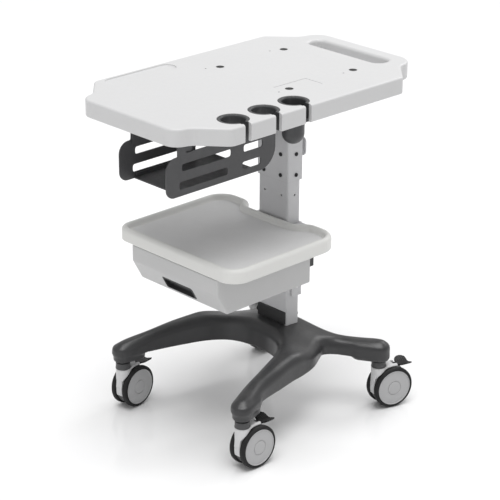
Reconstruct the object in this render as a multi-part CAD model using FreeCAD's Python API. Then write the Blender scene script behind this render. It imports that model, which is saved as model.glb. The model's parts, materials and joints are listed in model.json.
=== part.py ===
"""Mobile trolley for a portable ultrasound system, in millimetres.

Axes: +X is the trolley's right-hand side, +Y its rear, +Z up.
Origin: on the floor, under the middle of the table top.
"""
import FreeCAD, Part
import math
import os

V = FreeCAD.Vector
UP = V(0, 0, 1)

# ---- table top -------------------------------------------------------------
TABLE_TOP_Z = 806.5
TABLE_THICK = 39.5
TABLE_UNDER_Z = TABLE_TOP_Z - TABLE_THICK
TABLE_HALF_LENGTH = 362.0
TABLE_HALF_WIDTH = 220.2
TABLE_FRONT_HALF_WIDTH = 147.0
TABLE_REAR_HALF_WIDTH = 150.0
GRIP_Y = 303.5
GRIP_HALF_LENGTH = 116.0
GRIP_WIDTH = 45.0
TROUGH_X = -188.0
TROUGH_Y = -158.5
TROUGH_LENGTH = 193.0
TROUGH_WIDTH = 44.0
TROUGH_DEPTH = 3.5
DEVICE_HOLE_X = 109.2
DEVICE_HOLE_YS = (5.4, 205.0)
DEVICE_HOLE_R = 3.25
DEVICE_RECESS_R = 9.5
DEVICE_RECESS_DEPTH = 4.0

# ---- probe cups ------------------------------------------------------------
CUP_X = 174.5
CUP_PITCH = 87.6
CUP_FRONT_Y = -221.9
CUP_BORE_R = 26.0
CUP_WALL = 2.6
CUP_FLANGE_R = 34.4
CUP_FLANGE_THICK = 1.6
CUP_SLOT_WIDTH = 17.0
CUP_SLOT_END_X = 212.0
DEEP_CUP_R = 24.5
DEEP_CUP_CENTRE_Z = 735.5

# ---- basket under the table --------------------------------------------------
BASKET_HALF_WIDTH = 76.5
BASKET_SHEET = 2.5
BASKET_BOTTOM_Z = 624.0
BASKET_TOP_Z = 717.0
BASKET_FRONT_Y = -321.0
BASKET_REAR_Y = -2.5
HANGER_SHEET = 3.0

# ---- column ------------------------------------------------------------------
COLUMN_FRONT_Y = 67.0
TUBE_HALF_WIDTH = 46.5
TUBE_DEPTH = 40.0
TUBE_WALL = 3.0
TUBE_BOTTOM_Z = 168.0
TUBE_TOP_Z = 727.0
SLEEVE_HALF_WIDTH = 49.5
SLEEVE_FRONT_Y = COLUMN_FRONT_Y - 3.0
SLEEVE_DEPTH = 48.0
SLEEVE_BOTTOM_Z = 557.0
TOP_PLATE_THICK = 6.0
SLEEVE_TOP_Z = TABLE_UNDER_Z - TOP_PLATE_THICK
SCREW_ZS = (571.0, 620.5)
SCREW_X = 26.7
TUBE_HOLE_Z = 521.5

# ---- screws --------------------------------------------------------------------
SCREW_R = 2.5
SCREW_HOLE_R = 2.6
SCREW_HEAD_R = 4.6
SCREW_HEAD_THICK = 1.8
PLATE_SCREWS = [(x, y) for x in (-74, 74) for y in (41, 181)]
STRAP_SCREWS = [(x, y) for x in (-45, 45) for y in (-265.5, -23.5)]
ARM_SCREWS = [(x, y) for x in (-60.5, 60.5) for y in (-122, 5)]
CLAMP_SCREW_ZS = (298.0, 407.0)
FOOT_BOLT_R = 3.0

# ---- tray and drawer -----------------------------------------------------------
TRAY_HALF_WIDTH = 193.2
TRAY_FRONT_Y = -238.2
TRAY_REAR_Y = 90.6
TRAY_NOTCH_Y = 61.5
TRAY_BOTTOM_Z = 437.0
TRAY_TOP_Z = 470.0
TRAY_FLOOR_Z = 457.0
TRAY_LIP = 15.0
DRAWER_HALF_WIDTH = 140.3
DRAWER_FRONT_Y = -236.0
DRAWER_REAR_Y = 48.5
DRAWER_BOTTOM_Z = 348.5
DRAWER_BREAK_Z = 399.4
DRAWER_SLOPE_Y = -207.7
DRAWER_TOP_Z = 434.0
DRAWER_WALL = 3.0
FRONT_SKIN = 3.5
HANDLE_HALF_WIDTH = 51.0

# ---- base ----------------------------------------------------------------------
HUB_TOP_Z = 204.5
LEG_END_DROP = 33.6
LEG_UNDER_Z = 142.2
LEG_END_R = 23.0
BOSS_BOTTOM_Z = 123.5
FRONT_CASTER_Y = -219.6
REAR_CASTER_Y = 219.2
CASTER_X = 201.2

# ---- casters ---------------------------------------------------------------------
WHEEL_R = 50.0
TRAIL = 31.1
WHEEL_INNER_X = 9.3
WHEEL_OUTER_X = 24.4
RIM_R = 42.2
AXLE_R = 4.0
HOUSING_HALF_WIDTH = 8.7
HEAD_R = 17.0
HEAD_TOP_Z = 103.8
COLLAR_R = 17.5
COLLAR_BOTTOM_Z = 104.2
COLLAR_TOP_Z = 119.6
STEM_R = 6.0
STEM_BOTTOM_Z = 96.0
PEDAL_PIN_R = 2.0
PEDAL_PIVOT_Y = 42.0
PEDAL_PIVOT_Z = 97.0
CASTERS = {
    "front_left": (-CASTER_X, FRONT_CASTER_Y, 7.5),
    "front_right": (CASTER_X, FRONT_CASTER_Y, -1.0),
    "rear_left": (-CASTER_X, REAR_CASTER_Y, 16.0),
    "rear_right": (CASTER_X, REAR_CASTER_Y, -16.0),
}


# ---- helpers ---------------------------------------------------------------------
def box(x0, x1, y0, y1, z0, z1):
    return Part.makeBox(x1 - x0, y1 - y0, z1 - z0, V(x0, y0, z0))


def cylinder(r, start, direction, length):
    return Part.makeCylinder(r, length, start, direction)


def on_floor_plan(z):
    return lambda a, b: V(a, b, z)


def on_side_plan(x):
    return lambda a, b: V(x, a, b)


def on_front_plan(y):
    return lambda a, b: V(a, y, b)


def rounded_wire(corners, place):
    """Closed wire through corners (a, b, radius), each corner rounded by its radius."""
    edges = []
    ends = []
    count = len(corners)
    for i, (a, b, r) in enumerate(corners):
        here = V(a, b, 0)
        before = V(corners[i - 1][0], corners[i - 1][1], 0)
        after = V(corners[(i + 1) % count][0], corners[(i + 1) % count][1], 0)
        back = (before - here).normalize()
        on = (after - here).normalize()
        if r == 0:
            ends.append((here, here))
            continue
        half = back.getAngle(on) / 2
        reach = r / math.tan(half)
        middle = (back + on).normalize()
        centre = here + middle * (r / math.sin(half))
        start, end = here + back * reach, here + on * reach
        edges.append((start, centre - middle * r, end))
        ends.append((start, end))
    parts = [Part.Arc(*[place(p.x, p.y) for p in arc]).toShape() for arc in edges]
    for i, (_, leave) in enumerate(ends):
        arrive = ends[(i + 1) % count][0]
        if (arrive - leave).Length > 1e-4:
            parts.append(Part.LineSegment(place(leave.x, leave.y), place(arrive.x, arrive.y)).toShape())
    return Part.Wire(Part.__sortEdges__(parts))


def inset(corners, distance):
    """The counter-clockwise outline moved inwards, with its corner radii adjusted."""
    count = len(corners)
    lines = []
    for i in range(count):
        p = V(corners[i][0], corners[i][1], 0)
        q = V(corners[(i + 1) % count][0], corners[(i + 1) % count][1], 0)
        along = (q - p).normalize()
        lines.append((p + V(-along.y, along.x, 0) * distance, along))
    moved = []
    for i in range(count):
        (p, u), (q, w) = lines[i - 1], lines[i]
        turn = u.x * w.y - u.y * w.x
        t = ((q.x - p.x) * w.y - (q.y - p.y) * w.x) / turn
        radius = corners[i][2] - math.copysign(distance, turn)
        moved.append((p.x + u.x * t, p.y + u.y * t, max(radius, 1.0)))
    return moved


def mirrored(right_side):
    """Counter-clockwise outline from the corners of its right half, front to rear."""
    return right_side + [(-x, y, r) for x, y, r in reversed(right_side)]


def slab(corners, z0, z1):
    return Part.Face(rounded_wire(corners, on_floor_plan(z0))).extrude(V(0, 0, z1 - z0))


def edges_where(shape, test):
    return [e for e in shape.Edges if test(e.BoundBox)]


def level(z):
    return lambda b: abs(b.ZMin - z) < 0.01 and abs(b.ZMax - z) < 0.01


def softened(shape, radius, test):
    return shape.makeFillet(radius, edges_where(shape, test))


def rectangle(x0, x1, y0, y1, r):
    return [(x0, y0, r), (x1, y0, r), (x1, y1, r), (x0, y1, r)]


def union(shapes):
    return shapes[0].multiFuse(shapes[1:]).removeSplitter()


def mirror_x(shape):
    return shape.mirror(V(0, 0, 0), V(1, 0, 0))


# ---- table top ---------------------------------------------------------------------
def table_outline():
    return mirrored([
        (TABLE_FRONT_HALF_WIDTH, -TABLE_HALF_LENGTH, 33),
        (TABLE_FRONT_HALF_WIDTH + 10, -322, 40),
        (TABLE_HALF_WIDTH, -266, 22),
        (TABLE_HALF_WIDTH, 248, 14),
        (TABLE_REAR_HALF_WIDTH + 8, 308, 42),
        (TABLE_REAR_HALF_WIDTH, TABLE_HALF_LENGTH, 44),
    ])


def cup_positions():
    return [CUP_FRONT_Y + i * CUP_PITCH for i in range(3)]


def tabletop():
    top = slab(table_outline(), TABLE_UNDER_Z, TABLE_TOP_Z)
    top = softened(top, 5, level(TABLE_TOP_Z))
    top = softened(top, 3, level(TABLE_UNDER_Z))
    grip_y0, grip_y1 = GRIP_Y - GRIP_WIDTH / 2, GRIP_Y + GRIP_WIDTH / 2
    grip = rectangle(-GRIP_HALF_LENGTH, GRIP_HALF_LENGTH, grip_y0, grip_y1, 21)
    top = top.cut(slab(grip, TABLE_UNDER_Z, TABLE_TOP_Z))

    def grip_rim(z):
        return lambda b: level(z)(b) and b.YMin > grip_y0 - 1 and b.YMax < grip_y1 + 1 and b.XLength < 300

    for z in (TABLE_TOP_Z, TABLE_UNDER_Z):
        top = softened(top, 8, grip_rim(z))
    trough = rectangle(TROUGH_X - TROUGH_WIDTH / 2, TROUGH_X + TROUGH_WIDTH / 2,
                       TROUGH_Y - TROUGH_LENGTH / 2, TROUGH_Y + TROUGH_LENGTH / 2, 21)
    trough_tool = slab(trough, TABLE_TOP_Z - TROUGH_DEPTH, TABLE_TOP_Z + 1)
    top = top.cut(softened(trough_tool, 3, level(TABLE_TOP_Z - TROUGH_DEPTH)))
    for y in cup_positions():
        top = top.cut(cylinder(CUP_BORE_R + CUP_WALL, V(CUP_X, y, TABLE_UNDER_Z - 1), UP, TABLE_THICK + 2))
        top = top.cut(cylinder(CUP_FLANGE_R, V(CUP_X, y, TABLE_TOP_Z - CUP_FLANGE_THICK), UP, 10))
        for half_width, end_x in ((CUP_SLOT_WIDTH / 2 + CUP_WALL, CUP_SLOT_END_X),
                                  (CUP_SLOT_WIDTH / 2, TABLE_HALF_WIDTH + 1)):
            top = top.cut(box(CUP_X, end_x, y - half_width, y + half_width, TABLE_UNDER_Z - 1, TABLE_TOP_Z + 1))
    for x in (-DEVICE_HOLE_X, DEVICE_HOLE_X):
        for y in DEVICE_HOLE_YS:
            recess_z = TABLE_TOP_Z - DEVICE_RECESS_DEPTH
            top = top.cut(cylinder(DEVICE_RECESS_R, V(x, y, recess_z), UP, DEVICE_RECESS_DEPTH + 1))
            top = top.cut(cylinder(DEVICE_HOLE_R, V(x, y, TABLE_UNDER_Z - 1), UP, TABLE_THICK + 2))
            locator_x = x + (2 if x > 0 else -12)
            top = top.cut(cylinder(2.2, V(locator_x, y - 33, TABLE_TOP_Z - 5), UP, 6))
    for x, y in PLATE_SCREWS + STRAP_SCREWS:
        top = top.cut(cylinder(SCREW_HOLE_R, V(x, y, TABLE_UNDER_Z - 1), UP, 16))
    # locating line beside the device position
    top = top.cut(box(80, 82, -14, 84, TABLE_TOP_Z - 1, TABLE_TOP_Z + 1))
    return top.cut(box(80, 133, 82, 84, TABLE_TOP_Z - 1, TABLE_TOP_Z + 1))


def top_plate():
    """Steel plate on top of the column, screwed to the underside of the table."""
    plate = slab(rectangle(-88, 88, 27, 195, 12), SLEEVE_TOP_Z, TABLE_UNDER_Z)
    for x, y in PLATE_SCREWS:
        plate = plate.cut(cylinder(SCREW_HOLE_R, V(x, y, SLEEVE_TOP_Z - 1), UP, TOP_PLATE_THICK + 2))
    return plate


def screw(start, inward, length):
    """Round-headed socket screw with its head's seat at start."""
    head = cylinder(SCREW_HEAD_R, start - inward * SCREW_HEAD_THICK, inward, SCREW_HEAD_THICK)
    head = head.cut(cylinder(1.6, start - inward * SCREW_HEAD_THICK, inward, SCREW_HEAD_THICK / 2))
    return union([head, cylinder(SCREW_R, start, inward, length)])


def table_screws():
    under_plate = [screw(V(x, y, SLEEVE_TOP_Z), UP, 20) for x, y in PLATE_SCREWS]
    under_straps = [screw(V(x, y, TABLE_UNDER_Z - HANGER_SHEET), UP, 17) for x, y in STRAP_SCREWS]
    return Part.Compound(under_plate + under_straps)


def cup_liner(y):
    """Split ring with two straight lips that line the cable slot."""
    slot = CUP_SLOT_WIDTH / 2
    tube = cylinder(CUP_BORE_R + CUP_WALL, V(CUP_X, y, TABLE_UNDER_Z), UP, TABLE_THICK)
    flange = cylinder(CUP_FLANGE_R, V(CUP_X, y, TABLE_TOP_Z - CUP_FLANGE_THICK), UP, CUP_FLANGE_THICK)
    lips = box(CUP_X + 20, CUP_SLOT_END_X, y - slot - CUP_WALL, y + slot + CUP_WALL, TABLE_UNDER_Z, TABLE_TOP_Z)
    bore = cylinder(CUP_BORE_R, V(CUP_X, y, TABLE_UNDER_Z - 1), UP, TABLE_THICK + 4)
    gap = box(CUP_X, TABLE_HALF_WIDTH, y - slot, y + slot, TABLE_UNDER_Z - 1, TABLE_TOP_Z + 4)
    return union([tube, flange, lips]).cut(bore.fuse(gap))


def cup_liners():
    return Part.Compound([cup_liner(y) for y in cup_positions()[:2]])


def cup_holder_deep():
    y = cup_positions()[2]
    inner_r = DEEP_CUP_R - CUP_WALL
    neck_z = TABLE_UNDER_Z + 2
    outer = union([
        cup_liner(y),
        cylinder(CUP_BORE_R + CUP_WALL, V(CUP_X, y, TABLE_UNDER_Z), UP, 2 + CUP_WALL),
        cylinder(DEEP_CUP_R, V(CUP_X, y, DEEP_CUP_CENTRE_Z), UP, neck_z - DEEP_CUP_CENTRE_Z),
        Part.makeSphere(DEEP_CUP_R, V(CUP_X, y, DEEP_CUP_CENTRE_Z)),
    ])
    inside = cylinder(inner_r, V(CUP_X, y, DEEP_CUP_CENTRE_Z), UP, 100)
    return outer.cut(inside.fuse(Part.makeSphere(inner_r, V(CUP_X, y, DEEP_CUP_CENTRE_Z))))


# ---- basket --------------------------------------------------------------------------
def basket_plate():
    """Right-hand side plate: two necks up to the table and four long windows."""
    outline = [
        (BASKET_FRONT_Y, BASKET_BOTTOM_Z, 22),
        (BASKET_REAR_Y, BASKET_BOTTOM_Z, 48),
        (BASKET_REAR_Y, TABLE_UNDER_Z, 0),
        (-44, TABLE_UNDER_Z, 0),
        (-44, BASKET_TOP_Z, 6),
        (-266.5, BASKET_TOP_Z, 6),
        (-266.5, TABLE_UNDER_Z, 0),
        (-285, TABLE_UNDER_Z, 0),
        (-287.5, BASKET_TOP_Z - 4.5, 4),
        (BASKET_FRONT_Y, BASKET_TOP_Z - 4.5, 27),
    ]
    windows = [
        (-276.5, -135, 677.5, 694.5),
        (-284, -145.5, 638.5, 656),
        (-98, -41.5, 677.5, 694.5),
        (-102, -47, 638.5, 656),
    ]
    inner_x = BASKET_HALF_WIDTH - BASKET_SHEET
    plate = Part.Face(rounded_wire(outline, on_side_plan(inner_x))).extrude(V(BASKET_SHEET, 0, 0))
    for y0, y1, z0, z1 in windows:
        wire = rounded_wire(rectangle(y0, y1, z0, z1, 5.5), on_side_plan(inner_x - 1))
        plate = plate.cut(Part.Face(wire).extrude(V(BASKET_SHEET + 2, 0, 0)))
    return plate


def basket_floor():
    inner_x = BASKET_HALF_WIDTH - BASKET_SHEET - 0.1
    z0 = BASKET_BOTTOM_Z + 0.5
    floor = slab(rectangle(-inner_x, inner_x, -281.5, -54, 3), z0, z0 + BASKET_SHEET)
    lips = [box(s * inner_x - (BASKET_SHEET if s > 0 else 0), s * inner_x + (0 if s > 0 else BASKET_SHEET),
                -275, -62, z0, z0 + 11) for s in (-1, 1)]
    return union([floor] + lips)


def basket_hangers():
    """Two flat straps under the table, each with a leg down the inside of both plates."""
    inner_x = BASKET_HALF_WIDTH - BASKET_SHEET - 0.1
    straps = []
    for y0, y1 in ((-285.5, -245.5), (-43.5, -3.5)):
        strap = box(-inner_x, inner_x, y0, y1, TABLE_UNDER_Z - HANGER_SHEET, TABLE_UNDER_Z)
        legs = [box(-inner_x, HANGER_SHEET - inner_x, y0, y1, 700, TABLE_UNDER_Z),
                box(inner_x - HANGER_SHEET, inner_x, y0, y1, 700, TABLE_UNDER_Z)]
        piece = union([strap] + legs)
        for x, y in STRAP_SCREWS:
            piece = piece.cut(cylinder(SCREW_HOLE_R, V(x, y, TABLE_UNDER_Z - 10), UP, 20))
        straps.append(piece)
    return Part.Compound(straps)


# ---- column --------------------------------------------------------------------------
def hollow_section(half_width, y0, depth, wall, z0, z1, r):
    outer = slab(rectangle(-half_width, half_width, y0, y0 + depth, r), z0, z1)
    inner = slab(rectangle(wall - half_width, half_width - wall, y0 + wall, y0 + depth - wall, r - 1.5),
                 z0 - 1, z1 + 1)
    return outer.cut(inner)


def drill(shape, r, faces):
    for start, direction in faces:
        shape = shape.cut(cylinder(r, start - direction * 8, direction, 16))
    return shape


def screw_faces(z, front_y, side_x):
    """Holes in the front face and in both side faces at one height."""
    mid_y = COLUMN_FRONT_Y + 23
    return [(V(SCREW_X, front_y, z), V(0, 1, 0)), (V(-SCREW_X, front_y, z), V(0, 1, 0)),
            (V(side_x, mid_y, z), V(-1, 0, 0)), (V(-side_x, mid_y, z), V(1, 0, 0))]


def clamp_screw_faces():
    """Where the tray's clamp is screwed to the tube's side faces."""
    return [(V(-s * TUBE_HALF_WIDTH, COLUMN_FRONT_Y + 29, z), V(s, 0, 0)) for s in (-1, 1) for z in CLAMP_SCREW_ZS]


def column_sleeve():
    wall = SLEEVE_HALF_WIDTH - TUBE_HALF_WIDTH - 0.3
    sleeve = hollow_section(SLEEVE_HALF_WIDTH, SLEEVE_FRONT_Y, SLEEVE_DEPTH, wall, SLEEVE_BOTTOM_Z, SLEEVE_TOP_Z, 4)
    for z in SCREW_ZS:
        sleeve = drill(sleeve, 3.1, screw_faces(z, SLEEVE_FRONT_Y, SLEEVE_HALF_WIDTH))
    return sleeve


def column_tube():
    tube = hollow_section(TUBE_HALF_WIDTH, COLUMN_FRONT_Y, TUBE_DEPTH, TUBE_WALL, TUBE_BOTTOM_Z, TUBE_TOP_Z, 4)
    for z in SCREW_ZS + (TUBE_HOLE_Z,):
        tube = drill(tube, SCREW_HOLE_R, screw_faces(z, COLUMN_FRONT_Y, TUBE_HALF_WIDTH))
    tube = drill(tube, FOOT_BOLT_R + 0.1, foot_bolt_places())
    return drill(tube, SCREW_HOLE_R, clamp_screw_faces())


def column_screws():
    screws = [screw(start, inward, 7) for z in SCREW_ZS
              for start, inward in screw_faces(z, SLEEVE_FRONT_Y, SLEEVE_HALF_WIDTH)]
    return Part.Compound(screws)


def cable_hook():
    """Rounded plate held off the sleeve's rear face, to wind a cable round."""
    rear_y = SLEEVE_FRONT_Y + SLEEVE_DEPTH
    far_y = rear_y + 26
    foot = Part.Face(rounded_wire(rectangle(-20, 20, 600, 641, 6), on_front_plan(rear_y))).extrude(V(0, 3, 0))
    plate = Part.Face(rounded_wire(rectangle(-30, 30, 598, 643, 12), on_front_plan(far_y))).extrude(V(0, 4, 0))
    return union([foot, plate, box(-13, 13, rear_y + 1, far_y + 1, 609, 632)])


# ---- base ----------------------------------------------------------------------------
def crown_z(x, y):
    """Height of the casting's top: a flat hub, long gentle front legs, steep rear shoulders."""
    reach = math.hypot(x, y - COLUMN_FRONT_Y)
    front_drop = (reach / 348) ** 3
    rear_drop = 1 - math.exp(-(reach / 116) ** 3)
    blend = min(max((y + 34) / 138, 0), 1)
    blend = blend * blend * (3 - 2 * blend)
    return HUB_TOP_Z - LEG_END_DROP * (front_drop * (1 - blend) + rear_drop * blend)


def leg_end(y, lean):
    """Points round the outer half of a leg's end, whose leg points along lean degrees."""
    turns = [-90, -45, 0, 45, 90] if y < 0 else [-90, -40, 0, 40, 90]
    return [(CASTER_X + LEG_END_R * math.cos(math.radians(lean + t)),
             y + LEG_END_R * math.sin(math.radians(lean + t))) for t in turns]


def base_outline():
    """Right half of the casting's plan from the front arch round to the rear arch."""
    front_arch = [(37, 22), (73, 10), (98, -12), (118, -44), (132, -80), (146, -121)]
    front_leg = leg_end(FRONT_CASTER_Y, -73)
    flank = [(200, -152), (187, -84), (177, -36), (172, 1), (159, 48), (137, 88), (126, 111), (136, 139)]
    rear_leg = leg_end(REAR_CASTER_Y, 34)
    rear_arch = [(148, 210), (97, 175), (47, 152)]
    return front_arch + front_leg + flank + rear_leg + rear_arch


def base_casting():
    right = base_outline()
    points = [V(0, 24, 0)] + [V(x, y, 0) for x, y in right] + [V(0, 146, 0)]
    points += [V(-x, y, 0) for x, y in reversed(right)]
    curve = Part.BSplineCurve()
    curve.interpolate([p + V(0, 0, LEG_UNDER_Z) for p in points], PeriodicFlag=True)
    blank = Part.Face(Part.Wire(curve.toShape())).extrude(V(0, 0, 80))
    steps = 12
    grid = [[V(x, y, crown_z(x, y)) for x in (-250 + 500 * i / steps for i in range(steps + 1))]
            for y in (-280 + 560 * j / steps for j in range(steps + 1))]
    crown = Part.BSplineSurface()
    crown.interpolate(grid)
    body = blank.common(crown.toShape().extrude(V(0, 0, -120)))
    try:
        body = softened(body, 12, lambda b: b.ZMin > LEG_UNDER_Z + 10 and b.ZLength < 60 and b.XLength > 60)
    except Exception:
        print("crown edge left sharp")
    bosses = []
    for sx in (-1, 1):
        for y, inward in ((FRONT_CASTER_Y, V(-sx * 7, 26, 0)), (REAR_CASTER_Y, V(-sx * 22, -15, 0))):
            here = V(sx * CASTER_X, y, BOSS_BOTTOM_Z)
            pads = [cylinder(LEG_END_R - 0.6, here + inward * t, UP, 30) for t in (0, 1)]
            side = inward.cross(UP).normalize() * (LEG_END_R - 0.6)
            corners = [here + side, here - side, here + inward - side, here + inward + side]
            bar = Part.Face(Part.makePolygon(corners + corners[:1])).extrude(V(0, 0, 30))
            bosses.append(softened(union(pads + [bar]), 4, level(BOSS_BOTTOM_Z)))
    body = union([body] + bosses)
    socket = box(-TUBE_HALF_WIDTH - 0.2, TUBE_HALF_WIDTH + 0.2, COLUMN_FRONT_Y - 0.2,
                 COLUMN_FRONT_Y + TUBE_DEPTH + 0.2, TUBE_BOTTOM_Z, HUB_TOP_Z + 20)
    body = body.cut(socket)
    for sx in (-1, 1):
        for y in (FRONT_CASTER_Y, REAR_CASTER_Y):
            body = body.cut(cylinder(STEM_R, V(sx * CASTER_X, y, BOSS_BOTTOM_Z - 1), UP, 32))
    return body


def caster_stems():
    """Steel stems pressed into the leg ends; the casters swivel on their lower ends."""
    stems = []
    for x, y, _ in CASTERS.values():
        shank = cylinder(STEM_R, V(x, y, STEM_BOTTOM_Z), UP, 58)
        shoulder = cylinder(9.0, V(x, y, COLLAR_TOP_Z), UP, BOSS_BOTTOM_Z - COLLAR_TOP_Z)
        stems.append(union([shank, shoulder]))
    return Part.Compound(stems)


def caster_collars():
    """Bearing cap rings that sit still on the stems, just above each housing."""
    rings = []
    for x, y, _ in CASTERS.values():
        ring = cylinder(COLLAR_R, V(x, y, COLLAR_BOTTOM_Z), UP, COLLAR_TOP_Z - COLLAR_BOTTOM_Z)
        ring = softened(ring, 1.5, lambda b: b.ZLength < 0.01)
        rings.append(ring.cut(cylinder(STEM_R + 0.05, V(x, y, COLLAR_BOTTOM_Z - 1), UP, 20)))
    return Part.Compound(rings)


def foot_cover():
    front_y = COLUMN_FRONT_Y - 3.3
    wire = rounded_wire(rectangle(-45, 45, HUB_TOP_Z + 0.6, HUB_TOP_Z + 32, 2.5), on_front_plan(front_y))
    cover = Part.Face(wire).extrude(V(0, 3, 0))
    return softened(cover, 1, lambda b: b.YMax < front_y + 0.01 and b.XLength > 20)


def foot_bolt_places():
    """Seats of the bolts just above the hub, with their outward directions."""
    rear_y = COLUMN_FRONT_Y + TUBE_DEPTH + 0.1
    places = [(V(x, rear_y, 217.5), V(0, 1, 0)) for x in (-30, 30)]
    places.append((V(-TUBE_HALF_WIDTH - 0.1, COLUMN_FRONT_Y + 10, 214.5), V(-1, 0, 0)))
    return places


def foot_bolt(start, outward):
    head = cylinder(6.5, start + outward * 3, outward, 6)
    shank = cylinder(FOOT_BOLT_R, start - outward * 3, outward, 4)
    return union([head, cylinder(4.5, start, outward, 4), shank])


def foot_bolts():
    return Part.Compound([foot_bolt(start, outward) for start, outward in foot_bolt_places()])


# ---- tray and drawer -------------------------------------------------------------------
def tray_outline():
    return mirrored([
        (TRAY_HALF_WIDTH, TRAY_FRONT_Y, 45),
        (TRAY_HALF_WIDTH, TRAY_REAR_Y, 52),
        (99.8, TRAY_REAR_Y, 33),
        (79.6, TRAY_NOTCH_Y, 33),
    ])


def tray():
    outline = tray_outline()
    body = slab(outline, TRAY_BOTTOM_Z, TRAY_TOP_Z)
    body = softened(body, 6.5, level(TRAY_TOP_Z))
    body = softened(body, 3, level(TRAY_BOTTOM_Z))
    recess = slab(inset(outline, TRAY_LIP), TRAY_FLOOR_Z, TRAY_TOP_Z + 5)
    body = body.cut(softened(recess, 5, level(TRAY_FLOOR_Z)))
    body = softened(body, 5, lambda b: level(TRAY_TOP_Z)(b) and b.XMax < TRAY_HALF_WIDTH - TRAY_LIP + 1
                    and b.XMin > TRAY_LIP - TRAY_HALF_WIDTH - 1 and b.YMin > TRAY_FRONT_Y + TRAY_LIP - 1)
    body = body.cut(slab(inset(outline, 18), TRAY_BOTTOM_Z - 1, TRAY_FLOOR_Z - 5))
    for s in (-1, 1):
        x0, x1 = sorted((s * 46, s * 73))
        body = body.cut(box(x0, x1, 25, 66, TRAY_BOTTOM_Z - 1, TRAY_FLOOR_Z - 5))
    for x, y in ARM_SCREWS:
        body = body.cut(cylinder(SCREW_HOLE_R, V(x, y, TRAY_FLOOR_Z - 6), UP, 4))
    return body


def tray_mat():
    return slab(inset(tray_outline(), TRAY_LIP + 6), TRAY_FLOOR_Z, TRAY_FLOOR_Z + 1.5)


def tray_bracket():
    """Folded clamp round the back of the tube, with two arms under the tray."""
    rear_y = COLUMN_FRONT_Y + TUBE_DEPTH + 0.5
    arm_z = TRAY_FLOOR_Z - 9
    x0 = TUBE_HALF_WIDTH + 0.4
    x1 = x0 + 3.5
    pieces = [box(-x1, x1, rear_y, rear_y + 3.5, 272, arm_z + 4)]
    for s in (-1, 1):
        cheek_x = sorted((s * x0, s * x1))
        cheek = [(COLUMN_FRONT_Y + 14, 272, 6), (rear_y + 3.5, 272, 10), (rear_y + 3.5, arm_z + 4, 1),
                 (COLUMN_FRONT_Y + 14, arm_z + 4, 1)]
        wire = rounded_wire(cheek, on_side_plan(cheek_x[0]))
        pieces.append(Part.Face(wire).extrude(V(cheek_x[1] - cheek_x[0], 0, 0)))
        arm_x = sorted((s * x0, s * 72))
        pieces.append(box(arm_x[0], arm_x[1], -142, rear_y, arm_z, arm_z + 4))
    bracket = drill(union(pieces), SCREW_HOLE_R, clamp_screw_faces())
    for x, y in ARM_SCREWS:
        bracket = bracket.cut(cylinder(SCREW_HOLE_R, V(x, y, arm_z - 1), UP, 6))
    return bracket


def tray_screws():
    """Four screws up through the clamp's arms and four into the tube's sides."""
    arm_z = TRAY_FLOOR_Z - 9
    up = [screw(V(x, y, arm_z), UP, 7) for x, y in ARM_SCREWS]
    across = [screw(start - inward * 3.9, inward, 8) for start, inward in clamp_screw_faces()]
    return Part.Compound(up + across)


def drawer_profile(offset):
    """Front, sloped lower front, bottom and rear of the drawer, moved inwards by offset."""
    return inset([(DRAWER_FRONT_Y, DRAWER_BREAK_Z, 4), (DRAWER_SLOPE_Y, DRAWER_BOTTOM_Z, 5),
                  (DRAWER_REAR_Y, DRAWER_BOTTOM_Z, 3), (DRAWER_REAR_Y, DRAWER_TOP_Z, 1.5),
                  (DRAWER_FRONT_Y, DRAWER_TOP_Z, 1.5)], offset)


def drawer_prism(offset, half_width, extra_top=0.0):
    corners = drawer_profile(offset)
    if extra_top:
        top = DRAWER_TOP_Z + extra_top
        corners = corners[:3] + [(corners[3][0], top, 0), (corners[4][0], top, 0)]
    wire = rounded_wire(corners, on_side_plan(-half_width))
    return Part.Face(wire).extrude(V(2 * half_width, 0, 0))


def slope_frame():
    """Middle of the drawer's sloped front, with its downhill and outward directions."""
    high = V(0, DRAWER_FRONT_Y, DRAWER_BREAK_Z)
    low = V(0, DRAWER_SLOPE_Y, DRAWER_BOTTOM_Z)
    down = (low - high).normalize()
    outward = V(1, 0, 0).cross(down)
    if outward.y > 0:
        outward = outward * -1
    return high + (low - high) * 0.56, down, outward


def handle_block(half_width, half_height, near, far, r):
    """Rounded block on the slope from depth near to depth far, measured into the drawer."""
    middle, down, outward = slope_frame()

    def place(a, b):
        return middle + V(1, 0, 0) * a + down * b - outward * near

    wire = rounded_wire(rectangle(-half_width, half_width, -half_height, half_height, r), place)
    return Part.Face(wire).extrude(outward * (near - far))


def drawer_front():
    """Front skin with the sloped lower part, cut for the handle cup."""
    rear_cut = box(-200, 200, DRAWER_SLOPE_Y + 6, DRAWER_REAR_Y + 10, 300, 500)
    skin = drawer_prism(0, DRAWER_HALF_WIDTH).cut(drawer_prism(FRONT_SKIN, DRAWER_HALF_WIDTH + 1, 8))
    skin = skin.cut(rear_cut)
    return skin.cut(handle_block(HANDLE_HALF_WIDTH - 2, 17.5, -5, 30, 6))


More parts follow.
